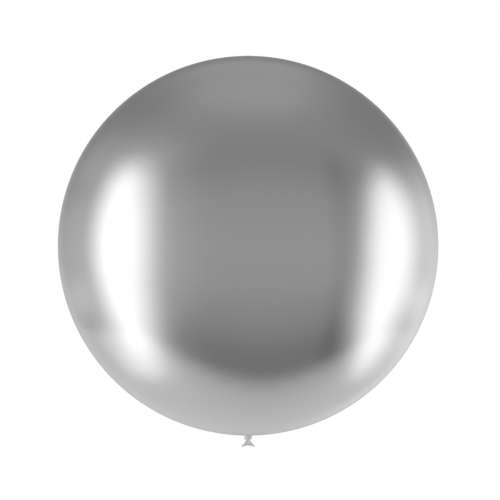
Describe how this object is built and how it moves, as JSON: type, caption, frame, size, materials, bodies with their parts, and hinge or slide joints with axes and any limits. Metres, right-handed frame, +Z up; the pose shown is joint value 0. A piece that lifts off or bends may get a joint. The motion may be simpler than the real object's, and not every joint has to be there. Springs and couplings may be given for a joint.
{
  "type": "giant latex balloon",
  "caption": "Large round metallic-finish latex balloon, blown up and tied off with an overhand knot, its flattened neck end flared below.",
  "frame": {"origin": "middle of the round envelope, where the surrounding air holds it up", "axes": "+Z up from the knot through the middle of the envelope to the thick spot at its top; +X along the wide way of the flattened mouth"},
  "size_m": [0.9, 0.9, 0.9244],
  "materials": {
    "blown_latex": "stretched latex with a metallic silver mirror-like finish",
    "crown_latex": "thicker metallic silver latex, a little darker and less glossy",
    "neck_latex": "slack metallic silver latex, creased, paler and satin",
    "lip_latex": "rolled bead of metallic silver latex, satin"
  },
  "bodies": {
    "root": {"envelope": "blown_latex", "crown_spot": "crown_latex", "neck_gather": "neck_latex", "knot": "neck_latex", "tail": "neck_latex", "rolled_lip": "lip_latex"}
  },
  "joints": []
}
